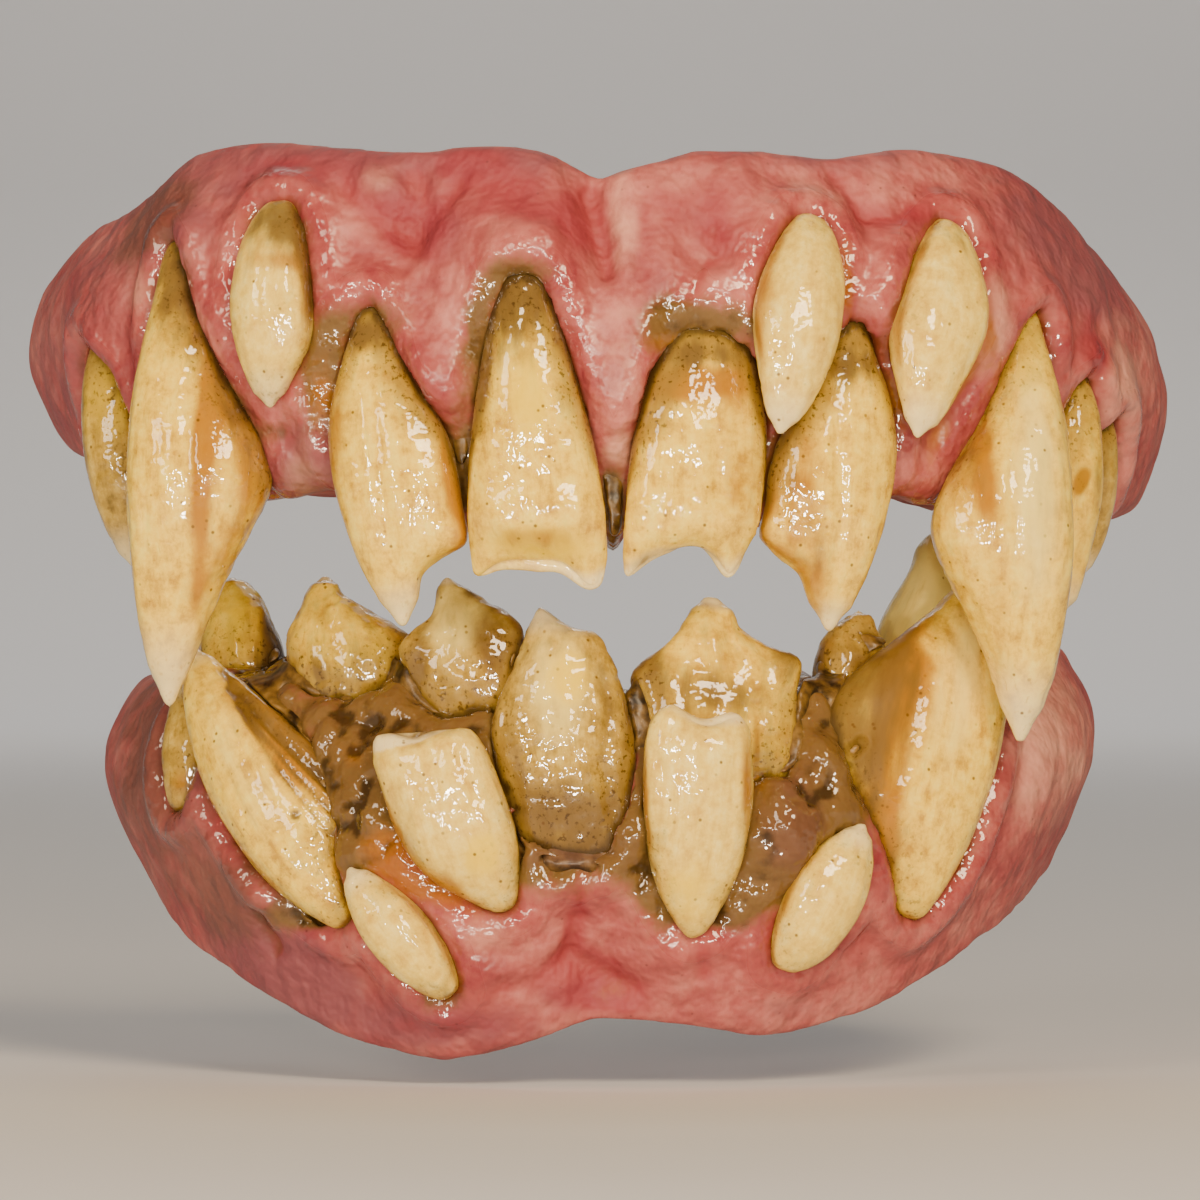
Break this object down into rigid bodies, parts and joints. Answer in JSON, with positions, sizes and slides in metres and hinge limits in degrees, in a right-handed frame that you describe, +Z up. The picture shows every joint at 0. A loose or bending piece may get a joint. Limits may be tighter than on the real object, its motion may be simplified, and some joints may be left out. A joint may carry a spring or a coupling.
{
  "type": "demon costume teeth",
  "caption": "Upper and lower snap-over costume tooth plates: hollow horseshoe gums of pink acrylic with long fangs, tusks and crooked stained teeth set in them.",
  "frame": {"origin": "on the floor of the upper gum's trough at the midline, where the wearer's upper front teeth seat", "axes": "+X to the viewer's right across the mouth, +Y back into the mouth, +Z up"},
  "size_m": [0.0709, 0.0394, 0.0549],
  "materials": {
    "gum_acrylic": "cast pink acrylic, hand stained, wet gloss",
    "tooth_ivory": "cast tooth acrylic, stained ivory, gloss",
    "tooth_pale": "cast tooth acrylic, pale cream, gloss",
    "tooth_olive": "cast tooth acrylic, olive brown stain, gloss"
  },
  "bodies": {
    "root": {"upper_gum": "gum_acrylic", "upper_left_spur": "tooth_pale", "upper_right_inner_spur": "tooth_pale", "upper_right_outer_spur": "tooth_pale", "upper_left_fang": "tooth_ivory", "upper_right_fang": "tooth_ivory", "upper_left_central": "tooth_ivory", "upper_right_central": "tooth_ivory", "upper_left_lateral": "tooth_ivory", "upper_right_lateral": "tooth_ivory", "upper_left_side_tooth": "tooth_olive", "upper_right_side_tooth": "tooth_ivory", "upper_right_rear_tooth": "tooth_olive", "lower_gum": "gum_acrylic", "lower_left_spur": "tooth_pale", "lower_right_spur": "tooth_pale", "lower_left_front": "tooth_pale", "lower_right_front": "tooth_pale", "lower_left_tusk": "tooth_ivory", "lower_right_tusk": "tooth_ivory", "lower_centre": "tooth_olive", "lower_right_premolar": "tooth_ivory", "lower_left_inner": "tooth_olive", "lower_left_premolar": "tooth_ivory", "lower_right_small": "tooth_olive", "lower_left_molar": "tooth_olive", "lower_left_rear": "tooth_ivory", "lower_right_rear": "tooth_olive"}
  },
  "joints": []
}
